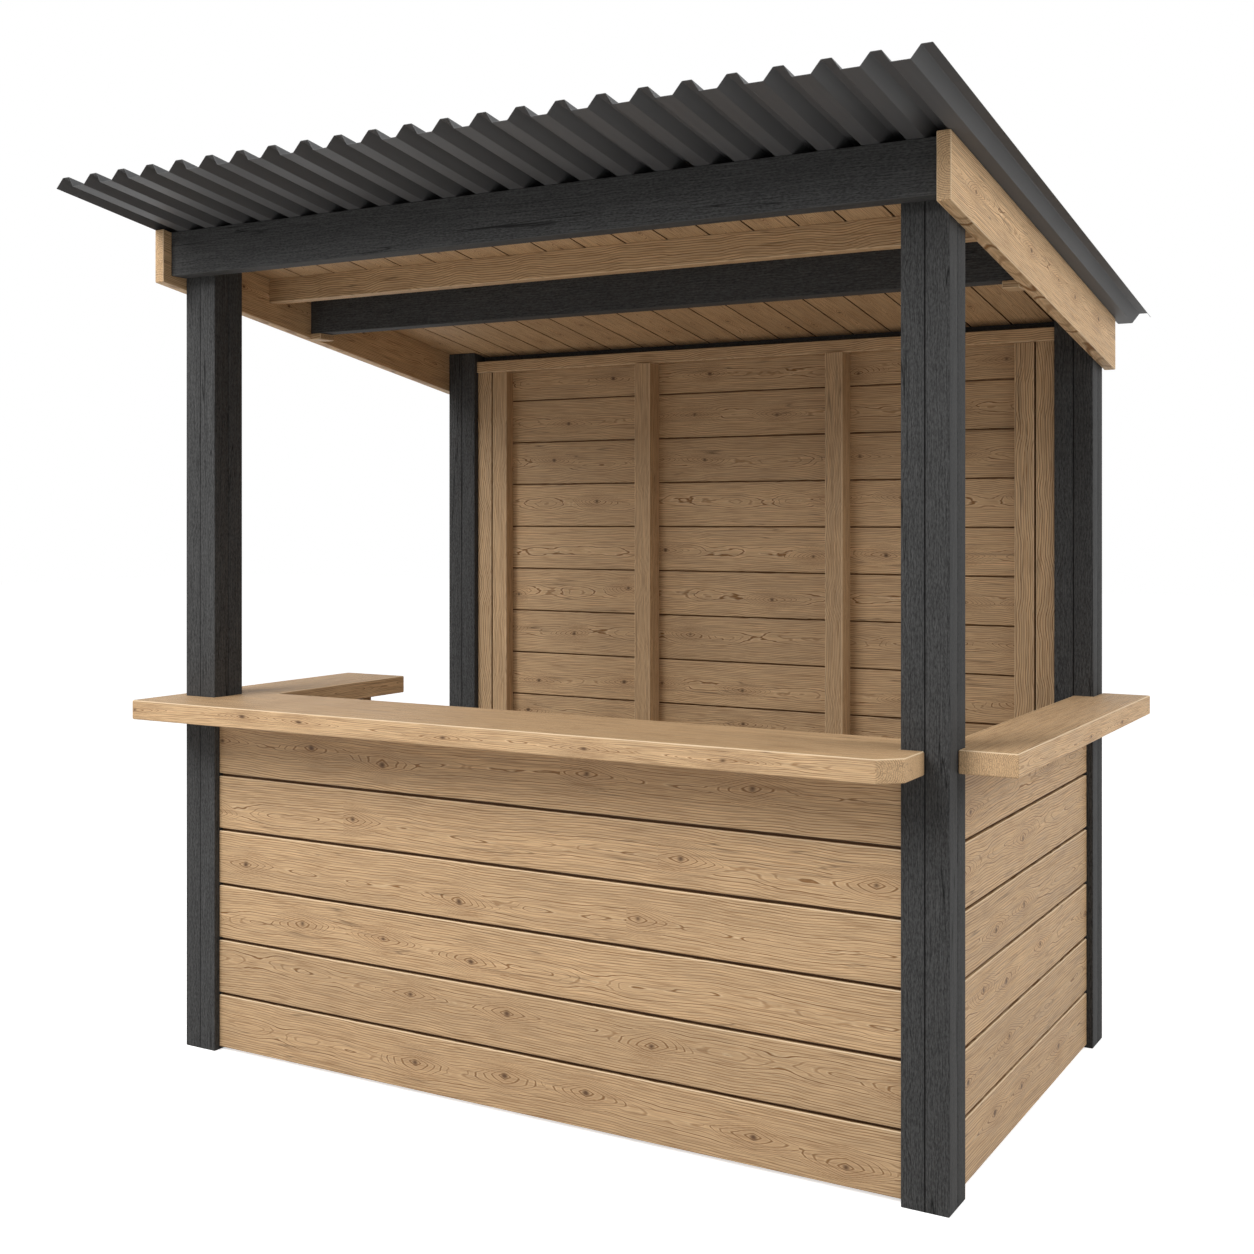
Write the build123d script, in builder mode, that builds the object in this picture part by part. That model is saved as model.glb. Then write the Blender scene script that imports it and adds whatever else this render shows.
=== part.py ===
from build123d import *
import os
from math import ceil, cos, radians, sin, tan

# Wooden market stall: a lean-to roof on four stained posts, boarded half walls under a counter
# on three sides, a boarded back wall, and an entrance at the rear of the left side.
# Millimetres, +Z up, the front faces -Y. The origin is on the ground under the middle of the box.

# Posts
post_size = 115
post_arris = 3
post_groove_width = 3.5  # relief groove down each face
post_groove_depth = 7
stall_width = 2345  # over the outer faces of the posts
stall_depth = 1425

# Roof plane: the tops of the rafters, boards and beams, under the sheet
roof_pitch = 9  # degrees, falling to the back
roof_front_height = 2398  # at the front faces of the front posts
roof_front_overhang = 445
roof_rear_overhang = 85
roof_side_overhang = 80  # past the right rafter, at least: the sheet ends on a whole rib

# Trapezoidal roof sheet
sheet_thickness = 1
rib_pitch = 106.5
rib_height = 28
crest_share = 0.22  # shares of the rib pitch, the valley takes the rest
flank_share = 0.19
lip_share = 0.40  # share of the last flank that turns down at the right edge

# Roof boards, rafters and beams
roof_board_thickness = 18
roof_board_width = 125
roof_board_gap = 5
rafter_thickness = 34
rafter_height = 155
rafter_front_reach = 90
rafter_rear_reach = 23
front_beam_thickness = 60
front_beam_height = 120  # at its back face
purlin_thickness = 45
purlin_height = 75
purlin_setback = 355
mid_beam_thickness = 60
mid_beam_height = 122  # at its front face
mid_beam_setback = 551
cleat_height = 20
cleat_length = 68
cleat_width = 45
back_beam_thickness = 50
back_beam_height = 46  # at its back face

# Counters
counter_height = 1040
counter_thickness = 55
front_counter_overhang = 175
front_counter_depth = 350
left_counter_overhang = 42
left_counter_width = 240
left_counter_reach = 790  # its rear end, from the front faces of the front posts
right_counter_overhang = 140
counter_corner_cut = 50
counter_corner_round = 12
counter_arris = 4
notch_clearance = 1

# Half walls under the counters
board_thickness = 20
board_height = 153
board_gap = 8
board_lap = 6  # how far a tongue reaches behind the board above it
lap_clearance = 1
head_gap = 4  # over a tongue, seen from inside
tongue_share = 0.7  # share of the board's thickness that stands before the tongue
board_recess = 18  # behind the outer faces of the posts
counter_shadow_gap = 17  # from the top board to the counter
ground_clearance = 10
rail_height = 60
stud_width = 45
stud_depth = 45
left_wall_reach = 760

# Back wall
back_board_thickness = 20
back_board_height = 147
back_board_gap = 5
back_rail_height = 40
back_rail_drop = 31  # under the roof boards, where the back beam shows
back_rail_depth = 52
back_stud_width = 60
back_stud_depth = 45
back_mid_stud_depth = 70
corner_stud_gap = 6
mid_stud_share = 1 / 3  # of the wall's width, from each side

# Places worked out from the sizes above
slope = radians(roof_pitch)
sheet_lean = (rib_height + sheet_thickness) * sin(slope)
overall_width = left_counter_overhang + stall_width + right_counter_overhang
overall_depth = roof_front_overhang + stall_depth + roof_rear_overhang + sheet_lean
left = left_counter_overhang - overall_width / 2
right = left + stall_width
front = roof_front_overhang - overall_depth / 2
back = front + stall_depth
inner_left = left + post_size
inner_right = right - post_size
inner_front = front + post_size
inner_back = back - post_size
board_drop = roof_board_thickness / cos(slope)
counter_underside = counter_height - counter_thickness

os.makedirs("parts", exist_ok=True)


def roof_line(y, below=0):
    # Height of the roof plane at y, less a drop measured straight down
    return roof_front_height - (y - front) * tan(slope) - below


def middle(ends):
    return (ends[0] + ends[1]) / 2


def length(ends):
    return ends[1] - ends[0]


def save(piece, name):
    piece.part.label = name
    export_step(piece.part, f"parts/{name}.step")


def square_timber(name, x, y, z):
    with BuildPart() as timber:
        with BuildSketch(Plane.XY.offset(z[0])):
            with Locations((middle(x), middle(y))):
                Rectangle(length(x), length(y))
        extrude(amount=length(z))
    save(timber, name)


def roof_timber(name, x, y, foot, below):
    # Level underneath and bevelled on top to the roof's pitch
    with BuildPart() as timber:
        with BuildSketch(Plane.YZ.offset(x[0])):
            with BuildLine():
                Polyline(
                    (y[0], foot),
                    (y[1], foot),
                    (y[1], roof_line(y[1], below)),
                    (y[0], roof_line(y[0], below)),
                    close=True,
                )
            make_face()
        extrude(amount=length(x))
    save(timber, name)


def pitched_timbers(name, starts, width, y, below, height):
    # Runs up the roof, with plumb ends: one solid for each start along X
    with BuildPart() as timber:
        with BuildSketch(*[Plane.YZ.offset(start) for start in starts]):
            with BuildLine():
                Polyline(
                    (y[0], roof_line(y[0], below)),
                    (y[1], roof_line(y[1], below)),
                    (y[1], roof_line(y[1], below + height)),
                    (y[0], roof_line(y[0], below + height)),
                    close=True,
                )
            make_face()
        extrude(amount=width)
    save(timber, name)


def board_rows(top, height, gap):
    # Whole boards from the ground up, with the top one ripped to fit
    pitch = height + gap
    count = max(1, round((top - ground_clearance) / pitch))
    feet = [ground_clearance + row * pitch for row in range(count)]
    whole_rows = [(foot, foot + height) for foot in feet[:-1]]
    return whole_rows + [(feet[-1], top)]


def lapped_boards(name, end_plane, run, face, thickness, rows, gap, inward):
    # Shiplap boards seen from their ends: each tongue stands in the rebate of the board above
    tongue_face = face + inward * thickness * tongue_share
    rebate_face = tongue_face - inward * lap_clearance
    inside = face + inward * thickness
    with BuildPart() as boards:
        for foot, head in rows:
            rebate_head = foot + board_lap + head_gap
            tongue_head = head + gap + board_lap
            tongue = [(tongue_face, head), (tongue_face, tongue_head), (inside, tongue_head)]
            ripped_edge = [(inside, head)]
            with BuildSketch(end_plane):
                with BuildLine():
                    Polyline(
                        (face, foot),
                        (face, head),
                        *(ripped_edge if (foot, head) == rows[-1] else tongue),
                        (inside, rebate_head),
                        (rebate_face, rebate_head),
                        (rebate_face, foot),
                        close=True,
                    )
                make_face()
            extrude(amount=run)
    save(boards, name)


# Posts, cut on top to the underside of the roof boards
post_columns = {"left": (left, inner_left), "right": (inner_right, right)}
post_rows = {"front": (front, inner_front), "rear": (inner_back, back)}
board_underside = Plane(
    origin=(0, front, roof_line(front, board_drop)),
    x_dir=(1, 0, 0),
    z_dir=(0, sin(slope), cos(slope)),
)
for row_name, row in post_rows.items():
    for column_name, column in post_columns.items():
        with BuildPart() as post:
            with BuildSketch() as post_section:
                with Locations((middle(column), middle(row))):
                    Rectangle(post_size, post_size)
                chamfer(post_section.vertices(), post_arris)
                with Locations(*[(middle(column), face) for face in row]):
                    Rectangle(post_groove_width, post_groove_depth * 2, mode=Mode.SUBTRACT)
                with Locations(*[(face, middle(row)) for face in column]):
                    Rectangle(post_groove_depth * 2, post_groove_width, mode=Mode.SUBTRACT)
            extrude(amount=roof_front_height)
            split(bisect_by=board_underside, keep=Keep.BOTTOM)
        save(post, f"{row_name}_{column_name}_post")

# Rafters on the outer sides of the posts
rafter_ends = (front - rafter_front_reach, back + rafter_rear_reach)
left_rafter_face = left - rafter_thickness
pitched_timbers("left_rafter", [left_rafter_face], rafter_thickness, rafter_ends, 0, rafter_height)
pitched_timbers("right_rafter", [right], rafter_thickness, rafter_ends, 0, rafter_height)

# Front beam on the front faces of the posts, between the rafters
front_beam_depth = (front - front_beam_thickness, front)
roof_timber("front_beam", (left, right), front_beam_depth, roof_line(front, front_beam_height), 0)

# Purlin under the roof boards
purlin_face = front + purlin_setback
purlin_back = purlin_face + purlin_thickness
purlin_foot = roof_line(purlin_face, board_drop + purlin_height)
roof_timber("purlin", (left, right), (purlin_face, purlin_back), purlin_foot, board_drop)

# Mid beam, hung between the rafters on a cleat at each end
mid_beam_face = front + mid_beam_setback
mid_beam_depth = (mid_beam_face, mid_beam_face + mid_beam_thickness)
cleat_depth = (middle(mid_beam_depth) - cleat_length / 2, middle(mid_beam_depth) + cleat_length / 2)
mid_beam_foot = roof_line(mid_beam_face, board_drop + mid_beam_height)
cleat_rise = (mid_beam_foot - cleat_height, mid_beam_foot)
roof_timber("mid_beam", (left, right), mid_beam_depth, mid_beam_foot, board_drop)
square_timber("left_cleat", (left, left + cleat_width), cleat_depth, cleat_rise)
square_timber("right_cleat", (right - cleat_width, right), cleat_depth, cleat_rise)

# Back beam between the rear posts, over the boards of the back wall
back_beam_depth = (back - back_beam_thickness, back)
back_beam_foot = roof_line(back, board_drop + back_beam_height)
roof_timber("back_beam", (inner_left, inner_right), back_beam_depth, back_beam_foot, board_drop)

# Roof boards between the rafters, from the front beam to the rafters' rear ends
roof_board_pitch = roof_board_width + roof_board_gap
roof_board_count = int((stall_width - roof_board_width) / roof_board_pitch) + 1
roof_board_span = (roof_board_count - 1) * roof_board_pitch + roof_board_width
roof_board_start = (left + right - roof_board_span) / 2
roof_board_starts = [roof_board_start + index * roof_board_pitch for index in range(roof_board_count)]
roof_board_ends = (front, back + rafter_rear_reach)
pitched_timbers("roof_boards", roof_board_starts, roof_board_width, roof_board_ends, 0, board_drop)

# Roof sheet: one folded profile, run up the slope from its rear edge
flank = rib_pitch * flank_share
crest = rib_pitch * crest_share
sheet_cover = stall_width + rafter_thickness * 2 + roof_side_overhang
rib_count = ceil(sheet_cover / rib_pitch)
sheet_rear = back + roof_rear_overhang
sheet_length = (roof_front_overhang + stall_depth + roof_rear_overhang) / cos(slope)
sheet_plane = Plane(
    origin=(0, sheet_rear, roof_line(sheet_rear)),
    x_dir=(1, 0, 0),
    z_dir=(0, -cos(slope), sin(slope)),
)
fold_points = []
for rib in range(rib_count):
    foot = left_rafter_face + rib * rib_pitch
    fold_points.append((foot, 0))
    fold_points.append((foot + flank, rib_height))
    fold_points.append((foot + flank + crest, rib_height))
    fold_points.append((foot + flank + crest + flank, 0))
lip_corner = fold_points[-2]
fold_points[-1] = (lip_corner[0] + flank * lip_share, lip_corner[1] - rib_height * lip_share)
with BuildPart() as roof_sheet:
    with BuildSketch(sheet_plane):
        with BuildLine():
            Polyline(*fold_points)
            offset(amount=sheet_thickness, kind=Kind.INTERSECTION, side=Side.LEFT)
        make_face()
    extrude(amount=sheet_length)
save(roof_sheet, "roof_sheet")

# Front counter, let in round both front posts
front_counter_face = front - front_counter_overhang
front_counter_back = front_counter_face + front_counter_depth
counter_left = left - left_counter_overhang
counter_meeting = right - post_size / 2  # where the front and right counters meet, in the post
notch_size = post_size + notch_clearance * 2
with BuildPart() as front_counter:
    with BuildSketch(Plane.XY.offset(counter_underside)) as front_counter_outline:
        counter_span = (counter_left, counter_meeting)
        with Locations((middle(counter_span), middle((front_counter_face, front_counter_back)))):
            Rectangle(length(counter_span), front_counter_depth)
        front_corners = front_counter_outline.vertices().group_by(Axis.Y)[0].sort_by(Axis.X)
        chamfer(front_corners[-1], counter_corner_cut)
        front_corners = front_counter_outline.vertices().group_by(Axis.Y)[0].sort_by(Axis.X)
        fillet(front_corners[0], counter_corner_round)
        with Locations(*[(middle(column), middle((front, inner_front))) for column in post_columns.values()]):
            Rectangle(notch_size, notch_size, mode=Mode.SUBTRACT)
    extrude(amount=counter_thickness)
    fillet(front_counter.faces().sort_by(Axis.Z)[-1].outer_wire().edges(), counter_arris)
save(front_counter, "front_counter")

# Right counter, from the middle of the front post to the back of the rear post
right_counter_face = right + right_counter_overhang
right_counter_front = front + post_size / 2
with BuildPart() as right_counter:
    with BuildSketch(Plane.XY.offset(counter_underside)):
        counter_span = (counter_meeting, right_counter_face)
        with Locations((middle(counter_span), middle((right_counter_front, back)))):
            Rectangle(length(counter_span), back - right_counter_front)
        with Locations(*[(middle((inner_right, right)), middle(row)) for row in post_rows.values()]):
            Rectangle(notch_size, notch_size, mode=Mode.SUBTRACT)
    extrude(amount=counter_thickness)
    fillet(right_counter.faces().sort_by(Axis.Z)[-1].outer_wire().edges(), counter_arris)
save(right_counter, "right_counter")

# Left counter, butted on the back of the front counter
left_counter_span = (counter_left, counter_left + left_counter_width)
left_counter_run = (front_counter_back, front + left_counter_reach)
with BuildPart() as left_counter:
    with BuildSketch(Plane.XY.offset(counter_underside)):
        with Locations((middle(left_counter_span), middle(left_counter_run))):
            Rectangle(length(left_counter_span), length(left_counter_run))
    extrude(amount=counter_thickness)
    fillet(left_counter.faces().sort_by(Axis.Z)[-1].outer_wire().edges(), counter_arris)
save(left_counter, "left_counter")

# Half walls: boards between the posts, studs and a rail behind them, the counter on the rail
rail_rise = (counter_underside - rail_height, counter_underside)
stud_rise = (ground_clearance, counter_underside - rail_height)
half_wall_rows = board_rows(counter_underside - counter_shadow_gap, board_height, board_gap)

front_board_face = front + board_recess
front_board_back = front_board_face + board_thickness
front_stud_depth = (front_board_back, front_board_back + stud_depth)
front_wall_span = (inner_left, inner_right)
lapped_boards("front_wall_boards", Plane.YZ.offset(inner_left), length(front_wall_span),
              front_board_face, board_thickness, half_wall_rows, board_gap, inward=1)
square_timber("front_wall_rail", front_wall_span, front_stud_depth, rail_rise)
front_stud_shares = {"left": 0, "mid_left": 1 / 3, "mid_right": 2 / 3, "right": 1}
for stud_name, share in front_stud_shares.items():
    stud_start = inner_left + share * (length(front_wall_span) - stud_width)
    stud_span = (stud_start, stud_start + stud_width)
    square_timber(f"front_wall_{stud_name}_stud", stud_span, front_stud_depth, stud_rise)

right_board_face = right - board_recess
right_board_back = right_board_face - board_thickness
right_stud_depth = (right_board_back - stud_depth, right_board_back)
right_wall_run = (inner_front, inner_back)
lapped_boards("right_wall_boards", Plane.XZ.offset(-inner_back), length(right_wall_run),
              right_board_face, board_thickness, half_wall_rows, board_gap, inward=-1)
square_timber("right_wall_rail", right_stud_depth, right_wall_run, rail_rise)
right_stud_shares = {"front": 0, "middle": 1 / 2, "rear": 1}
for stud_name, share in right_stud_shares.items():
    stud_start = inner_front + share * (length(right_wall_run) - stud_width)
    stud_run = (stud_start, stud_start + stud_width)
    square_timber(f"right_wall_{stud_name}_stud", right_stud_depth, stud_run, stud_rise)

left_board_face = left + board_recess
left_board_back = left_board_face + board_thickness
left_stud_depth = (left_board_back, left_board_back + stud_depth)
left_wall_end = front + left_wall_reach
left_wall_run = (inner_front, left_wall_end)
end_stud_start = left_wall_end - stud_width
lapped_boards("left_wall_boards", Plane.XZ.offset(-left_wall_end), length(left_wall_run),
              left_board_face, board_thickness, half_wall_rows, board_gap, inward=1)
square_timber("left_wall_rail", left_stud_depth, (inner_front, end_stud_start), rail_rise)
square_timber("left_wall_front_stud", left_stud_depth, (inner_front, inner_front + stud_width), stud_rise)
square_timber("left_wall_end_stud", left_stud_depth, (end_stud_start, left_wall_end),
              (ground_clearance, counter_underside))

# Back wall: boards from the ground up to the beam, and a rail over the studs
back_wall_span = (inner_left, inner_right)
back_board_inside = back - back_beam_thickness
back_board_face = back_board_inside + back_board_thickness
back_rows = board_rows(back_beam_foot, back_board_height, back_board_gap)
lapped_boards("back_wall_boards", Plane.YZ.offset(inner_left), length(back_wall_span),
              back_board_face, back_board_thickness, back_rows, back_board_gap, inward=-1)
back_rail_run = (back_board_inside - back_rail_depth, back_board_inside)
back_rail_top = roof_line(back_rail_run[0], board_drop + back_rail_drop)
back_rail_foot = back_rail_top - back_rail_height
square_timber("back_wall_rail", back_wall_span, back_rail_run, (back_rail_foot, back_rail_top))

# Inner studs of the back wall: a pair beside each post and two deeper ones between
back_stud_rise = (ground_clearance, back_rail_foot)
pair_step = back_stud_width + corner_stud_gap
back_stud_starts = {
    "left_corner": inner_left,
    "left": inner_left + pair_step,
    "mid_left": inner_left + length(back_wall_span) * mid_stud_share - back_stud_width / 2,
    "mid_right": inner_right - length(back_wall_span) * mid_stud_share - back_stud_width / 2,
    "right": inner_right - pair_step - back_stud_width,
    "right_corner": inner_right - back_stud_width,
}
for stud_name, stud_start in back_stud_starts.items():
    stud_span = (stud_start, stud_start + back_stud_width)
    depth = back_mid_stud_depth if stud_name.startswith("mid") else back_stud_depth
    back_stud_run = (back_board_inside - depth, back_board_inside)
    square_timber(f"back_wall_{stud_name}_stud", stud_span, back_stud_run, back_stud_rise)
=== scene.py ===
import bmesh
import bpy
import numpy as np
import random
from math import cos, radians, sin, tan
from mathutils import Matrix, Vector


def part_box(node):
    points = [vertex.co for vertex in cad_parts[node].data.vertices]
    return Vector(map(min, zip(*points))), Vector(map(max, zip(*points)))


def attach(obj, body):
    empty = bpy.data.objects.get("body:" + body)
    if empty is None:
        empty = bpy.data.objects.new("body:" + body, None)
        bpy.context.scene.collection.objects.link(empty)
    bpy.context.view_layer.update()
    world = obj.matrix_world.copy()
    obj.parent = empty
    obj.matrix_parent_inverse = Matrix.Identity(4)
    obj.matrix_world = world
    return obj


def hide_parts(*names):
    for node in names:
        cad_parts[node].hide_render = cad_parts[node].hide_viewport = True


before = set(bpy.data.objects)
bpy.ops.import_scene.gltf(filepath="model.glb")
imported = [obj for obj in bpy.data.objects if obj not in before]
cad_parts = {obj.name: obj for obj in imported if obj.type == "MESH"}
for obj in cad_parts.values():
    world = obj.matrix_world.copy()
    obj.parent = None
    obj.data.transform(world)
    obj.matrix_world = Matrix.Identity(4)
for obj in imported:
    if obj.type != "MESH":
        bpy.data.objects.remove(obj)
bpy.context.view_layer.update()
dice = random.Random(41)  # one seed, so that every run lays the same timber
roof = {"pitch": radians(9)}
upward = Vector((0, 0, 1))
print("frame loaded,", len(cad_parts), "nodes")


# Materials

def linear(hexColour):  # sRGB hex to linear RGBA
    shares = [int(hexColour[i:i + 2], 16) / 255 for i in (1, 3, 5)]
    return [s / 12.92 if s <= 0.04045 else ((s + 0.055) / 1.055) ** 2.4 for s in shares] + [1]


# Sockets go by name, or by number where names repeat
def addNode(tree, kind, inputs=None, stops=None, **settings):
    made = tree.nodes.new(kind)
    for name, value in settings.items():
        setattr(made, name, value)
    for socket, value in (inputs or {}).items():
        if isinstance(value, bpy.types.NodeSocket):
            tree.links.new(value, made.inputs[socket])
        else:
            made.inputs[socket].default_value = value
    for place, hexColour in (stops or {}).items():
        made.color_ramp.elements.new(place).color = linear(hexColour)
    if stops:  # the two stops that a new ramp has
        made.color_ramp.elements.remove(made.color_ramp.elements[0])
        made.color_ramp.elements.remove(made.color_ramp.elements[-1])
    return made


def newMaterial(name):
    material = bpy.data.materials.new(name)
    material.use_nodes = True
    material.node_tree.nodes.clear()
    return material, material.node_tree


oiledLarch = {  # planed and oiled: pale early wood, brown late-wood lines that arch and close round knots
    "name": "oiled_larch",
    "line": "#7a5226", "bright": "#d2b58f", "face": "#c2a17a",  # late wood, the early wood by it, the rest
    "pore": "#8a6844", "knot": "#573b22", "knotRim": "#8f6a45",
    # The pale arris colour is a painted highlight, and the gap colour is painted shade in the gaps between
    # boards
    "check": "#4a3520", "highlightTint": "#e6cda9", "gapShade": "#5a3c1f",
    "ringWidth": 0.0072, "ringFade": (0.0, 0.6),  # real rings are 1 to 3 mm, drawn coarser so that they show
    "fibre": (0.14, 0.0032), "fibreShade": (0.76, 1.18),  # bundles of fibres, coarser than real ones
    "poreDepth": 0.6, "knotShare": 0.65, "checkDepth": 0.6, "toneDepth": 0.06,
    "roughness": (0.5, 0.72), "relief": 0.0008, "gloss": 0.4,
}
charcoalStain = {  # sawn timber under a thin black-grey stain: the grain shows as faint streaks and checks
    "name": "charcoal_stained_larch",
    "line": "#2b2b2b", "bright": "#494949", "face": "#404040",
    "pore": "#5b5b5b", "knot": "#202020", "knotRim": "#303030",
    # Painted highlight on arrises, and painted shade for gaps
    "check": "#121212", "highlightTint": "#4e4e4e", "gapShade": "#0d0d0d",
    "ringWidth": 0.008, "ringFade": (0.5, 0.9),
    "fibre": (0.009, 0.0030), "fibreShade": (0.5, 1.5),  # short, as the saw tears them
    "poreDepth": 0.35, "knotShare": 0.22, "checkDepth": 0.9, "toneDepth": 0.06,
    "roughness": (0.6, 0.75), "relief": 0.0012, "gloss": 0.06,
}
grainSizes = {  # metres along the grain and across it
    "swayAcross": 0.05, "swayDeep": 0.01, "swayLength": 0.70,
    "archDeep": 0.050, "archLength": 0.30,  # the rings dip and rise along the heart: pointed arches
    "ripple": 0.0035, "rippleLength": 0.14, "rippleWidth": 0.024,
    "flame": 0.010, "flameLength": 0.07, "flameWidth": 0.016, "flameBand": 0.045,
    "lineReach": 0.055,
    "knotEvery": 0.38, "knotWander": 0.02, "knotLength": 0.014, "knotWidth": 0.011,
    "eyeLength": 0.150, "eyeWidth": 0.060, "eyeSwell": 0.016,
    "checkLength": 1.1, "checkWidth": 0.030,
    "poreLength": 0.11, "poreWidth": 0.0022,  # resin streaks, coarser than real
    "blotchLength": 0.60, "blotchWidth": 0.11,
}
grainShares = {  # plain shares, and the part of a noise's range that a shade is spread over
    "lines": (0.29, 0.46), "ringStops": (0.15, 0.55, 0.98),  # late wood's share over the heart, beside it
    "noise": (0.3, 0.7), "pore": (0.54, 0.66), "blotch": (0.94, 1.05),
    "knotSpread": 0.9, "knotRagged": 1.2, "knotEdge": (1.7, 0.7),
    "eyePoint": 2.0, "eyeReach": 3.0, "rim": 0.30,
    "checkMiddle": 0.5, "checkLine": 0.010, "checkWhere": (0.50, 0.56),
    "bump": 0.5,
}

# Where a sawn face lies from the heart, how much finer than written its rings are, and how pale it is; the
# raised tones of the back wall and rafters are painted light
heartCut = {"aside": (-0.025, 0.025), "deep": (-0.024, -0.014), "fine": 1.1, "tone": (-1, 1)}
# Painted light: toned paler than the rest, for the back wall in shade under the roof
innerCut = {"aside": (-0.025, 0.025), "deep": (-0.012, -0.002), "fine": 1.35, "tone": (0.2, 2.2)}
ceilingCut = {"aside": (-0.025, 0.025), "deep": (-0.024, -0.014), "fine": 1.5, "tone": (-1, 1)}
# Painted light: toned paler, for the rafters' shaded faces
rafterCut = {"aside": (-0.010, 0.020), "deep": (0.006, 0.014), "fine": 1.5, "tone": (2.0, 2.6)}
# Far from the heart: straight grain on every face
sideCut = {"aside": (0.22, 0.30), "deep": (-0.36, -0.26), "fine": 1.6, "tone": (-1, 1)}
# Deep is from a counter's edge, and its rings are finer across the grain only
plankCut = {"aside": (-0.020, 0.020), "deep": (-0.014, -0.006), "fine": (1.0, 1.9, 1.9), "tone": (-1, 1)}


def grainNoise(tree, place, length, width, **settings):  # drawn out along the grain
    drawnOut = addNode(tree, "ShaderNodeVectorMath",
                       {0: place, 1: (1 / length, 1 / width, 1 / width)}, operation="MULTIPLY")
    return addNode(tree, "ShaderNodeTexNoise", {"Vector": drawnOut.outputs[0], "Scale": 1, **settings})


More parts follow.
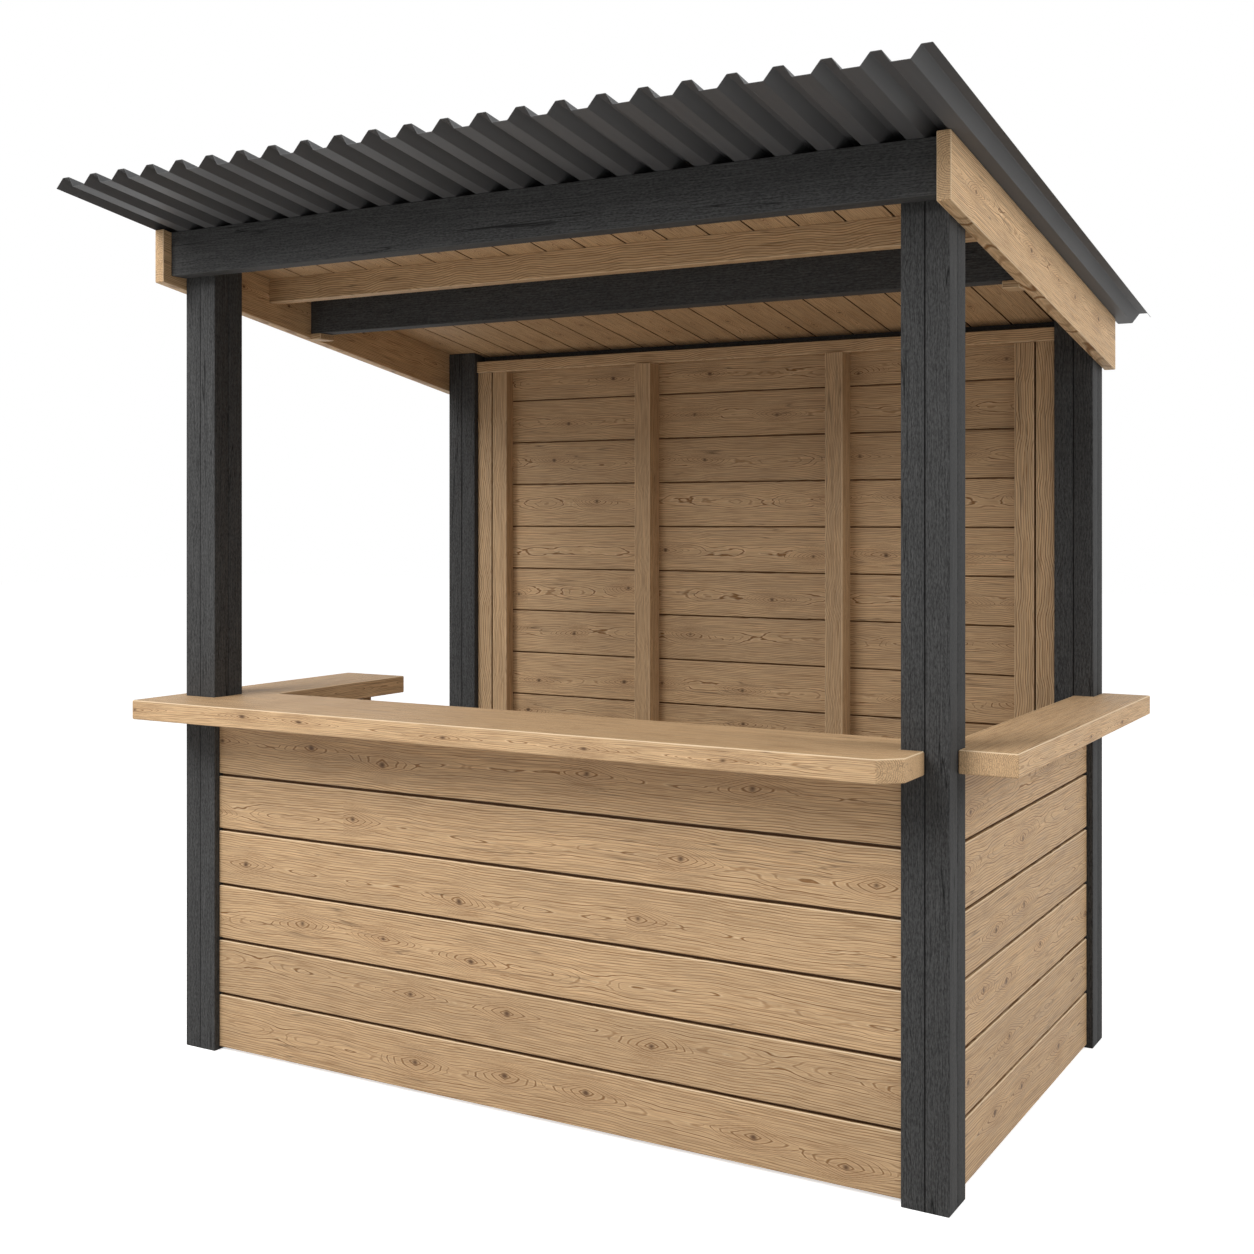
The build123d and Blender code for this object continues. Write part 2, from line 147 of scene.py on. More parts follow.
def woodFinish(look):
    material, tree = newMaterial(look["name"])
    size, share = grainSizes, grainShares
    grain = addNode(tree, "ShaderNodeAttribute", attribute_name="grain").outputs["Vector"]
    fibres = addNode(tree, "ShaderNodeAttribute", attribute_name="fibre").outputs["Vector"]
    tone = addNode(tree, "ShaderNodeAttribute", attribute_name="tone").outputs["Fac"]
    along = addNode(tree, "ShaderNodeSeparateXYZ", {0: grain}).outputs[0]

    # The heart of the tree wanders along the timber, and its depth under the face rises and falls
    sway = addNode(tree, "ShaderNodeTexNoise", {"W": along, "Scale": 1 / size["swayLength"], "Detail": 3},
                   noise_dimensions="1D")
    arch = addNode(tree, "ShaderNodeTexNoise", {"W": along, "Scale": 1 / size["archLength"], "Detail": 1},
                   noise_dimensions="1D")
    ripple = grainNoise(tree, grain, size["rippleLength"], size["rippleWidth"], Detail=3)
    heart = grain
    for noise, reach in ((sway, (0, size["swayAcross"], size["swayDeep"])),
                         (arch, (0, 0, size["archDeep"])),
                         (ripple, (0, size["ripple"], size["ripple"]))):
        heart = addNode(tree, "ShaderNodeVectorMath", {0: noise.outputs["Color"], 1: reach, 2: heart},
                        operation="MULTIPLY_ADD").outputs[0]
    fromHeart = addNode(tree, "ShaderNodeVectorMath", {0: heart, 1: (0, 1, 1)}, operation="MULTIPLY")
    radius = addNode(tree, "ShaderNodeVectorMath", {0: fromHeart.outputs[0]}, operation="LENGTH")

    # Over the heart the rings run in jagged flames, beside it they lie straight
    flame = grainNoise(tree, grain, size["flameLength"], size["flameWidth"], Detail=1)
    across = addNode(tree, "ShaderNodeSeparateXYZ", {0: heart}).outputs[1]
    offHeart = addNode(tree, "ShaderNodeMath", {0: across}, operation="ABSOLUTE")
    band = addNode(tree, "ShaderNodeMapRange",
                   {"Value": offHeart.outputs[0], 1: size["flameBand"], 2: 0, 3: 0, 4: size["flame"]},
                   interpolation_type="SMOOTHSTEP")

    # Knots: one in some of the lengths of the heart line, in a lozenge-shaped eye of rings
    lengths = addNode(tree, "ShaderNodeMath", {0: along, 1: size["knotEvery"]}, operation="DIVIDE")
    cells = addNode(tree, "ShaderNodeTexVoronoi",
                    {"W": lengths.outputs[0], "Scale": 1, "Randomness": share["knotSpread"]},
                    voronoi_dimensions="1D", feature="F1")
    cellDice = addNode(tree, "ShaderNodeSeparateColor", {0: cells.outputs["Color"]})
    present = addNode(tree, "ShaderNodeMath", {0: cellDice.outputs[0], 1: look["knotShare"]},
                      operation="LESS_THAN")
    wander = addNode(tree, "ShaderNodeMapRange",
                     {"Value": cellDice.outputs[1], 3: -size["knotWander"], 4: size["knotWander"]})
    knotAlong = addNode(tree, "ShaderNodeMath", {0: cells.outputs["W"], 1: size["knotEvery"]},
                        operation="MULTIPLY")
    knotPlace = addNode(tree, "ShaderNodeCombineXYZ", {0: knotAlong.outputs[0], 1: wander.outputs[0]})
    fromKnot = addNode(tree, "ShaderNodeVectorMath", {0: heart, 1: knotPlace.outputs[0]},
                       operation="SUBTRACT")
    eyeStep = addNode(tree, "ShaderNodeVectorMath",
                      {0: fromKnot.outputs[0], 1: (1 / size["eyeLength"], 1 / size["eyeWidth"], 0)},
                      operation="MULTIPLY")
    eyeSides = addNode(tree, "ShaderNodeVectorMath", {0: eyeStep.outputs[0]}, operation="ABSOLUTE")
    eyeCorner = addNode(tree, "ShaderNodeVectorMath", {0: eyeSides.outputs[0], 1: (1, 1, 0)},
                        operation="DOT_PRODUCT")
    eyeRound = addNode(tree, "ShaderNodeVectorMath", {0: eyeStep.outputs[0]}, operation="LENGTH")
    eyeReach = addNode(tree, "ShaderNodeMath",
                       {0: eyeCorner.outputs["Value"], 1: share["eyePoint"], 2: eyeRound.outputs["Value"]},
                       operation="MULTIPLY_ADD")
    eyeShape = addNode(tree, "ShaderNodeMapRange",
                       {"Value": eyeReach.outputs[0], 1: share["eyeReach"], 2: 0})
    eye = addNode(tree, "ShaderNodeMath", {0: eyeShape.outputs[0], 1: present.outputs[0]},
                  operation="MULTIPLY").outputs[0]
    knotStep = addNode(tree, "ShaderNodeVectorMath",
                       {0: fromKnot.outputs[0], 1: (1 / size["knotLength"], 1 / size["knotWidth"], 0)},
                       operation="MULTIPLY")
    knotReach = addNode(tree, "ShaderNodeVectorMath", {0: knotStep.outputs[0]}, operation="LENGTH")
    knotEdge = addNode(tree, "ShaderNodeMath",
                       {0: flame.outputs["Fac"], 1: share["knotRagged"], 2: knotReach.outputs["Value"]},
                       operation="MULTIPLY_ADD")
    knotShape = addNode(tree, "ShaderNodeMapRange",
                        {"Value": knotEdge.outputs[0], 1: share["knotEdge"][0], 2: share["knotEdge"][1]},
                        interpolation_type="SMOOTHSTEP")
    knot = addNode(tree, "ShaderNodeMath", {0: knotShape.outputs[0], 1: present.outputs[0]},
                   operation="MULTIPLY").outputs[0]

    # Year rings, which close round a knot without flames
    awayFromKnot = addNode(tree, "ShaderNodeMath", {0: 1, 1: eye}, operation="SUBTRACT")
    calm = addNode(tree, "ShaderNodeMath", {0: band.outputs[0], 1: awayFromKnot.outputs[0]},
                   operation="MULTIPLY")
    flamed = addNode(tree, "ShaderNodeMath",
                     {0: flame.outputs["Fac"], 1: calm.outputs[0], 2: radius.outputs["Value"]},
                     operation="MULTIPLY_ADD")
    swell = addNode(tree, "ShaderNodeMath", {0: eye, 1: -size["eyeSwell"]}, operation="MULTIPLY")
    swollen = addNode(tree, "ShaderNodeMath",
                      {0: flamed.outputs[0], 1: awayFromKnot.outputs[0], 2: swell.outputs[0]},
                      operation="MULTIPLY_ADD")
    years = addNode(tree, "ShaderNodeMath", {0: swollen.outputs[0], 1: look["ringWidth"]},
                    operation="DIVIDE")
    year = addNode(tree, "ShaderNodeMath", {0: years.outputs[0]}, operation="FLOOR")
    season = addNode(tree, "ShaderNodeMath", {0: years.outputs[0]}, operation="FRACT")
    yearDice = addNode(tree, "ShaderNodeTexWhiteNoise", {"W": year.outputs[0]}, noise_dimensions="1D")
    lineShare = addNode(tree, "ShaderNodeMapRange",
                        {"Value": offHeart.outputs[0], 1: 0, 2: size["lineReach"],
                         3: share["lines"][0], 4: share["lines"][1]})
    fromLine = addNode(tree, "ShaderNodeMath", {0: season.outputs[0], 1: 0.5}, operation="SUBTRACT")
    offLine = addNode(tree, "ShaderNodeMath", {0: fromLine.outputs[0]}, operation="ABSOLUTE")
    lineStep = addNode(tree, "ShaderNodeMath", {0: offLine.outputs[0], 1: lineShare.outputs[0]},
                       operation="DIVIDE")
    ring = addNode(tree, "ShaderNodeValToRGB", {0: lineStep.outputs[0]},
                   stops=dict(zip(share["ringStops"], (look["line"], look["bright"], look["face"]))))
    fadeRange = addNode(tree, "ShaderNodeMapRange",
                        {"Value": yearDice.outputs["Value"], 3: look["ringFade"][0], 4: look["ringFade"][1]})
    fade = addNode(tree, "ShaderNodeMath", {0: fadeRange.outputs[0], 1: awayFromKnot.outputs[0]},
                   operation="MULTIPLY")
    faded = addNode(tree, "ShaderNodeMix",
                    {0: fade.outputs[0], 6: ring.outputs[0], 7: linear(look["face"])}, data_type="RGBA")

    # Fibres, resin streaks and slow changes of colour
    noiseLow, noiseHigh = share["noise"]
    fibre = grainNoise(tree, fibres, *look["fibre"], Detail=3, Roughness=0.6)
    fibreShade = addNode(tree, "ShaderNodeMapRange",
                         {"Value": fibre.outputs["Fac"], 1: noiseLow, 2: noiseHigh,
                          3: look["fibreShade"][0], 4: look["fibreShade"][1]})
    streaked = addNode(tree, "ShaderNodeMix", {0: 1, 6: faded.outputs[2], 7: fibreShade.outputs[0]},
                       data_type="RGBA", blend_type="MULTIPLY")
    pore = grainNoise(tree, fibres, size["poreLength"], size["poreWidth"], Detail=1)
    poreMask = addNode(tree, "ShaderNodeMapRange",
                       {"Value": pore.outputs["Fac"], 1: share["pore"][0], 2: share["pore"][1],
                        3: 0, 4: look["poreDepth"]})
    pored = addNode(tree, "ShaderNodeMix",
                    {0: poreMask.outputs[0], 6: streaked.outputs[2], 7: linear(look["pore"])},
                    data_type="RGBA")
    blotch = grainNoise(tree, fibres, size["blotchLength"], size["blotchWidth"], Detail=2)
    blotchShade = addNode(tree, "ShaderNodeMapRange",
                          {"Value": blotch.outputs["Fac"], 1: noiseLow, 2: noiseHigh,
                           3: share["blotch"][0], 4: share["blotch"][1]})
    toneShade = addNode(tree, "ShaderNodeMath",
                        {0: tone, 1: look["toneDepth"], 2: blotchShade.outputs[0]}, operation="MULTIPLY_ADD")
    toned = addNode(tree, "ShaderNodeMix", {0: 1, 6: pored.outputs[2], 7: toneShade.outputs[0]},
                    data_type="RGBA", blend_type="MULTIPLY")

    # Drying checks: long thin cracks where a drawn-out noise crosses its middle
    check = grainNoise(tree, fibres, size["checkLength"], size["checkWidth"], Detail=2)
    checkReach = addNode(tree, "ShaderNodeMath", {0: check.outputs["Fac"], 1: share["checkMiddle"]},
                         operation="SUBTRACT")
    checkGap = addNode(tree, "ShaderNodeMath", {0: checkReach.outputs[0]}, operation="ABSOLUTE")
    checkLine = addNode(tree, "ShaderNodeMapRange",
                        {"Value": checkGap.outputs[0], 1: share["checkLine"], 2: 0,
                         3: 0, 4: look["checkDepth"]})
    checkFrom, checkFull = share["checkWhere"]
    checkWhere = addNode(tree, "ShaderNodeMapRange",
                         {"Value": blotch.outputs["Fac"], 1: checkFrom, 2: checkFull})
    checked = addNode(tree, "ShaderNodeMath", {0: checkLine.outputs[0], 1: checkWhere.outputs[0]},
                      operation="MULTIPLY").outputs[0]

    # Then one coat over another: checks, a knot's brown eye, the knot, painted highlights on arrises,
    # painted shade in the gaps
    rim = addNode(tree, "ShaderNodeMath", {0: eye, 1: share["rim"]}, operation="MULTIPLY").outputs[0]
    highlight = addNode(tree, "ShaderNodeAttribute", attribute_name="highlight").outputs["Fac"]
    gapShade = addNode(tree, "ShaderNodeAttribute", attribute_name="gapShade").outputs["Fac"]
    face = toned.outputs[2]
    for cover, colour in ((checked, "check"), (rim, "knotRim"), (knot, "knot"), (highlight, "highlightTint"),
                          (gapShade, "gapShade")):
        face = addNode(tree, "ShaderNodeMix", {0: cover, 6: face, 7: linear(look[colour])},
                       data_type="RGBA").outputs[2]

    # Fibre bundles stand a little proud, and differ in gloss
    bump = addNode(tree, "ShaderNodeBump",
                   {"Strength": share["bump"], "Distance": look["relief"], "Height": fibre.outputs["Fac"]})
    dull = addNode(tree, "ShaderNodeMapRange",
                   {"Value": fibre.outputs["Fac"], 1: noiseLow, 2: noiseHigh,
                    3: look["roughness"][0], 4: look["roughness"][1]})
    surface = addNode(tree, "ShaderNodeBsdfPrincipled",
                      {"Base Color": face, "Roughness": dull.outputs[0], "IOR": 1.5,
                       "Specular IOR Level": look["gloss"], "Normal": bump.outputs[0]})
    addNode(tree, "ShaderNodeOutputMaterial", {0: surface.outputs[0]})
    return material


coatedSteel = {  # anthracite coil-coated steel: low sheen, even, with faint rolling streaks up the slope
    "name": "anthracite_coated_steel", "face": "#3e3e3f", "streak": "#49494a", "dust": "#565657",
    "streakWidth": 0.012, "streakLength": 0.9,  # real rolling streaks are finer
    "cloudWidth": 0.4, "cloud": (0.3, 0.7), "dustWhere": (0.45, 0.75), "dustDepth": 0.25,
    "roughness": (0.50, 0.62), "gloss": 0.4,
}


def steelFinish(look):
    material, tree = newMaterial(look["name"])
    place = addNode(tree, "ShaderNodeTexCoord").outputs["Object"]
    streakScale = [1 / look[key] for key in ("streakWidth", "streakLength", "streakLength")]
    streakPlace = addNode(tree, "ShaderNodeVectorMath", {0: place, 1: streakScale}, operation="MULTIPLY")
    streak = addNode(tree, "ShaderNodeTexNoise",
                     {"Vector": streakPlace.outputs[0], "Scale": 1, "Detail": 3})
    cloud = addNode(tree, "ShaderNodeTexNoise",
                    {"Vector": place, "Scale": 1 / look["cloudWidth"], "Detail": 4})
    streaked = addNode(tree, "ShaderNodeMix",
                       {0: streak.outputs["Fac"], 6: linear(look["face"]), 7: linear(look["streak"])},
                       data_type="RGBA")
    dusty = addNode(tree, "ShaderNodeMapRange",
                    {"Value": cloud.outputs["Fac"], 1: look["dustWhere"][0], 2: look["dustWhere"][1],
                     3: 0, 4: look["dustDepth"]})
    dusted = addNode(tree, "ShaderNodeMix",
                     {0: dusty.outputs[0], 6: streaked.outputs[2], 7: linear(look["dust"])},
                     data_type="RGBA")
    dull = addNode(tree, "ShaderNodeMapRange",
                   {"Value": cloud.outputs["Fac"], 1: look["cloud"][0], 2: look["cloud"][1],
                    3: look["roughness"][0], 4: look["roughness"][1]})
    surface = addNode(tree, "ShaderNodeBsdfPrincipled",
                      {"Base Color": dusted.outputs[2], "Roughness": dull.outputs[0], "IOR": 1.5,
                       "Specular IOR Level": look["gloss"]})
    addNode(tree, "ShaderNodeOutputMaterial", {0: surface.outputs[0]})
    return material


naturalWood = woodFinish(oiledLarch)
charcoalWood = woodFinish(charcoalStain)
charcoalSheet = steelFinish(coatedSteel)
finishes = {"natural_wood": naturalWood, "charcoal_wood": charcoalWood, "charcoal_sheet": charcoalSheet}
print("materials made")


# Shaping tools

shaping = {
    "bevelFrom": radians(25), "smoothUnder": radians(40),
    "faces": 0.9,  # how far a normal has to point one way for its face to be picked
    "near": 0.001,  # room for picking by place
    "stretch": (5, 90),  # metres along the grain, so that no two timbers share a piece of tree
}


def only(piece):
    bpy.ops.object.select_all(action="DESELECT")
    piece.select_set(True)
    bpy.context.view_layer.objects.active = piece


def openMesh(piece):
    only(piece)
    bpy.ops.object.mode_set(mode="EDIT")
    bpy.ops.mesh.select_all(action="SELECT")


def closeMesh():
    bpy.ops.object.mode_set(mode="OBJECT")


def pickFaces(piece, test):
    bpy.ops.mesh.select_mode(type="FACE")
    bpy.ops.mesh.select_all(action="DESELECT")
    shape = bmesh.from_edit_mesh(piece.data)
    for face in shape.faces:
        face.select_set(test(face.calc_center_median(), face.normal))
    bmesh.update_edit_mesh(piece.data)


def pickEdges(piece, test):
    bpy.ops.mesh.select_mode(type="EDGE")
    bpy.ops.mesh.select_all(action="DESELECT")
    shape = bmesh.from_edit_mesh(piece.data)
    for edge in shape.edges:
        edge.select_set(test(edge.verts[0].co, edge.verts[1].co))
    bmesh.update_edit_mesh(piece.data)


def addBlock(name, low, high):  # a sawn block at its size and place
    bpy.ops.object.select_all(action="DESELECT")
    low, high = Vector(low), Vector(high)
    bpy.ops.mesh.primitive_cube_add(size=1, location=(low + high) / 2, scale=high - low)
    bpy.ops.object.transform_apply(location=True, rotation=True, scale=True)
    block = bpy.context.active_object
    block.name = name
    return block


def addModifier(piece, kind, **settings):
    only(piece)
    bpy.ops.object.modifier_add(type=kind)
    modifier = piece.modifiers[-1]
    for name, value in settings.items():
        setattr(modifier, name, value)
    bpy.ops.object.modifier_apply(modifier=modifier.name)


def flattenFaces(piece):  # flats shade flat, and only the eased edges turn the light
    only(piece)
    bpy.ops.object.shade_smooth_by_angle(angle=shaping["smoothUnder"])
    addModifier(piece, "WEIGHTED_NORMAL", keep_sharp=True)


def easeArrises(piece, width, segments=3):
    addModifier(piece, "BEVEL", limit_method="ANGLE", angle_limit=shaping["bevelFrom"],
                width=width, segments=segments, use_clamp_overlap=False)
    flattenFaces(piece)


def layGrain(piece, along, across, cut):
    # Each timber has its own stretch of tree: along it, across its face, and deep from the heart
    lean = (grainSizes["swayAcross"] + grainSizes["ripple"]) / 2  # what the noises add on average
    sink = (grainSizes["swayDeep"] + grainSizes["archDeep"] + grainSizes["ripple"]) / 2
    along, across = Vector(along), Vector(across)
    axes = np.array([along, across, along.cross(across)])
    points = np.empty(len(piece.data.vertices) * 3, np.float32)
    piece.data.vertices.foreach_get("co", points)
    local = points.reshape(-1, 3) @ axes.T
    middle = (local.min(0) + local.max(0)) / 2
    offset = np.array([dice.uniform(*shaping["stretch"]), dice.uniform(*cut["aside"]) - lean,
                       dice.uniform(*cut["deep"]) - sink])
    for name, fine in (("grain", cut["fine"]), ("fibre", 1)):  # the rings' coordinates, and the fibres'
        spots = piece.data.attributes.new(name, "FLOAT_VECTOR", "POINT")
        spots.data.foreach_set("vector", ((local - middle) * fine + offset).astype(np.float32).ravel())
    tone = piece.data.attributes.new("tone", "FLOAT", "POINT")
    tone.data.foreach_set("value", np.full(len(local), dice.uniform(*cut["tone"]), np.float32))


def markPoints(piece, mark, test):  # painted shade in gaps or a painted highlight on an arris, on the points that a test picks
    marks = piece.data.attributes.new(mark, "FLOAT", "POINT")
    marks.data.foreach_set("value", [float(test(point.co)) for point in piece.data.vertices])


def joinPieces(parts, name):
    bpy.ops.object.select_all(action="DESELECT")
    for part in parts:
        part.select_set(True)
    bpy.context.view_layer.objects.active = parts[0]
    bpy.ops.object.join()
    parts[0].name = name
    return parts[0]


def settle(piece, node, slot):
    piece.name = node + "_dressed"
    piece.data.materials.clear()
    piece.data.materials.append(finishes[slot])
    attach(piece, "root")
    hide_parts(node)


# Posts: square timber with a relief groove down each face

posts = {
    "nodes": ("front_left_post", "front_right_post", "rear_left_post", "rear_right_post"),
    "arris": 0.003, "grooveWidth": 0.0035, "grooveDepth": 0.007,
}


def cutToRoof(piece, ridge):  # takes off what stands above the roof's slope through a point
    openMesh(piece)
    bpy.ops.mesh.bisect(plane_co=ridge, plane_no=(0, sin(roof["pitch"]), cos(roof["pitch"])),
                        use_fill=True, clear_outer=True)
    closeMesh()


for node in posts["nodes"]:
    low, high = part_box(node)
    post = addBlock(node, low, high)
    cutToRoof(post, (0, low.y, high.z))
    easeArrises(post, posts["arris"])
    middle = (low + high) / 2
    openMesh(post)
    for axis in (Vector((1, 0, 0)), Vector((0, 1, 0))):
        for side in (-1, 1):
            bpy.ops.mesh.select_all(action="SELECT")
            bpy.ops.mesh.bisect(plane_co=middle + axis * side * posts["grooveWidth"] / 2, plane_no=axis)
    for face in (Vector((1, 0, 0)), Vector((-1, 0, 0)), Vector((0, 1, 0)), Vector((0, -1, 0))):
        aside = face.cross(upward)
        pickFaces(post, lambda centre, normal: normal.dot(face) > shaping["faces"]
                  and abs((centre - middle).dot(aside)) < posts["grooveWidth"] / 2)
        bpy.ops.mesh.extrude_region_move(TRANSFORM_OT_translate={"value": -face * posts["grooveDepth"]})
    closeMesh()
    flattenFaces(post)
    layGrain(post, (0, 0, 1), (1, 0, 0), sideCut)
    settle(post, node, "charcoal_wood")
print("posts")


# Beams, purlin, cleats, rails and studs: planed square timber

timbers = {
    "alongX": ("front_beam", "mid_beam", "back_beam", "purlin", "front_wall_rail", "back_wall_rail",
               "left_cleat", "right_cleat"),
    "alongY": ("right_wall_rail", "left_wall_rail"),
    "onRoof": ("front_beam", "mid_beam", "back_beam", "purlin"),
    "charcoal": ("front_beam", "mid_beam", "back_beam", "front_wall_rail", "right_wall_rail",
                 "left_wall_rail"),
    "arris": 0.003,
}
arrisHighlight = {"band": (0.0001, 0.0025), "depth": 0.6}  # a planed arris is painted paler this far in from the faces, as a highlight
studNodes = sorted(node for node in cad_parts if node.endswith("_stud"))


def onArris(distance):
    return arrisHighlight["band"][0] < distance < arrisHighlight["band"][1]


for node in (*timbers["alongX"], *timbers["alongY"], *studNodes):
    low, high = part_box(node)
    timber = addBlock(node, low, high)
    if node in timbers["onRoof"]:
        cutToRoof(timber, (0, low.y, high.z))
    easeArrises(timber, timbers["arris"])
    size = high - low
    if node in timbers["alongX"]:
        layGrain(timber, (1, 0, 0), (0, 0, 1), sideCut)
    elif node in timbers["alongY"]:
        layGrain(timber, (0, 1, 0), (0, 0, 1), sideCut)
    else:
        layGrain(timber, (0, 0, 1), (1, 0, 0) if size.x >= size.y else (0, 1, 0), sideCut)
    # Painted highlight along the arrises
    markPoints(timber, "highlight", lambda spot: arrisHighlight["depth"] * (sum(
        onArris(min(spot[axis] - low[axis], high[axis] - spot[axis])) for axis in range(3)) > 1))
    settle(timber, node, "charcoal_wood" if node in timbers["charcoal"] else "natural_wood")
print("beams, rails and studs")


# Rafters and roof boards: run down the slope, with plumb ends

rafters = {"nodes": ("left_rafter", "right_rafter"), "arris": 0.003}
roofBoards = {"node": "roof_boards", "width": 0.125, "gap": 0.005, "arris": 0.002, "gapShadeReach": 0.0005}
slopeLine = Vector((0, cos(roof["pitch"]), -sin(roof["pitch"])))


def pitchedTimber(name, low, high):
    fall = (high.y - low.y) * tan(roof["pitch"])
    timber = addBlock(name, low + Vector((0, 0, fall)), high)
    openMesh(timber)
    pickFaces(timber, lambda centre, normal: normal.y > shaping["faces"])
    bpy.ops.transform.translate(value=(0, 0, -fall))
    closeMesh()
    return timber


for node in rafters["nodes"]:
    low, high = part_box(node)
    rafter = pitchedTimber(node, low, high)
    easeArrises(rafter, rafters["arris"])
    layGrain(rafter, slopeLine, slopeLine.cross(Vector((1, 0, 0))), rafterCut)
    # Painted highlight along the arrises beside the side faces
    markPoints(rafter, "highlight", lambda spot: arrisHighlight["depth"] * onArris(
        min(spot.x - low.x, high.x - spot.x)))
    settle(rafter, node, "natural_wood")

low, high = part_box(roofBoards["node"])
step = roofBoards["width"] + roofBoards["gap"]
ceiling = []
for index in range(round((high.x - low.x + roofBoards["gap"]) / step)):
    start = Vector((low.x + index * step, low.y, low.z))
    end = Vector((start.x + roofBoards["width"], high.y, high.z))
    board = pitchedTimber(f"roof_board_{index}", start, end)
    easeArrises(board, roofBoards["arris"], 2)
    # Painted shade along the long edges, in the gaps between the boards
    markPoints(board, "gapShade", lambda spot: min(spot.x - start.x, end.x - spot.x) < roofBoards["gapShadeReach"])
    layGrain(board, slopeLine, (1, 0, 0), ceilingCut)
    ceiling.append(board)
settle(joinPieces(ceiling, roofBoards["node"]), roofBoards["node"], "natural_wood")
print("rafters and roof boards")


# Wall boards: shiplap, each tongue behind the board above

halfWall = {"height": 0.153, "gap": 0.008, "cut": heartCut}
backWall = {"height": 0.147, "gap": 0.005, "cut": innerCut}
boards = {
    "lap": 0.006, "rebate": 0.010, "arris": 0.003, "stagger": 0.0006,
    "faceShare": 0.70, "highlightShare": 0.6,  # of the thickness before the tongue, and of the upper arris that gets a painted highlight
}
walls = {  # the outer face's corner and turn that put a board on its wall
    "front_wall_boards": {"corner": lambda low, high: (low.x, low.y), "turn": 0, "rows": halfWall},
    "right_wall_boards": {"corner": lambda low, high: (high.x, low.y), "turn": 90, "rows": halfWall},
    "left_wall_boards": {"corner": lambda low, high: (low.x, high.y), "turn": -90, "rows": halfWall},
    "back_wall_boards": {"corner": lambda low, high: (high.x, high.y), "turn": 180, "rows": backWall},
}


def lapBoard(name, run, thickness, height, tongue):
    front = thickness * boards["faceShare"]
    board = addBlock(name, (0, 0, 0), (run, front, height))
    openMesh(board)
    bpy.ops.mesh.bisect(plane_co=(0, 0, boards["rebate"]), plane_no=(0, 0, 1))
    pickFaces(board, lambda centre, normal: normal.y > shaping["faces"] and centre.z > boards["rebate"])
    bpy.ops.mesh.extrude_region_move(TRANSFORM_OT_translate={"value": (0, thickness - front, 0)})
    if tongue:
        pickFaces(board, lambda centre, normal: normal.z > shaping["faces"] and centre.y > front)
        bpy.ops.mesh.extrude_region_move(TRANSFORM_OT_translate={"value": (0, 0, tongue)})
    closeMesh()
    easeArrises(board, boards["arris"])
    highlightReach = boards["arris"] * boards["highlightShare"]

    def inGap(spot):  # painted shade: the tongue's face in the outer gap, and the rebate over it in the inner one
        return front / 2 < spot.y < thickness - boards["arris"] and (
            spot.z > height - shaping["near"]
            or boards["arris"] < spot.z < boards["rebate"] + shaping["near"])

    markPoints(board, "gapShade", inGap)
    # Painted highlight on the upper front arris
    markPoints(board, "highlight", lambda spot: max(spot.y, height - spot.z) < highlightReach)
    return board


for node, wall in walls.items():
    low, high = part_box(node)
    corner = wall["corner"](low, high)
    turn = radians(wall["turn"])
    rows = wall["rows"]
    step = rows["height"] + rows["gap"]
    rowCount = round((high.z - low.z) / step)
    run = high.x - low.x if wall["turn"] in (0, 180) else high.y - low.y
    thickness = high.y - low.y if wall["turn"] in (0, 180) else high.x - low.x
    pattern = lapBoard("pattern_board", run, thickness, rows["height"], rows["gap"] + boards["lap"])
    laid = []
    for row in range(rowCount):
        foot = low.z + row * step
        if row == rowCount - 1:  # the top board is ripped to fit and has no tongue
            board = lapBoard("top_board", run, thickness, high.z - foot, 0)
        else:
            board = pattern.copy()
            board.data = pattern.data.copy()
            bpy.context.scene.collection.objects.link(board)
        inward = Vector((-sin(turn), cos(turn), 0))
        place = Vector((*corner, foot)) + inward * dice.uniform(0, boards["stagger"])
        only(board)
        board.rotation_euler.z = turn
        board.location = place
        bpy.ops.object.transform_apply(location=True, rotation=True, scale=True)
        layGrain(board, (cos(turn), sin(turn), 0), (0, 0, 1), rows["cut"])
        laid.append(board)
    bpy.data.objects.remove(pattern)
    settle(joinPieces(laid, node), node, "natural_wood")
print("wall boards")


# Counters: thick planks let in round the posts

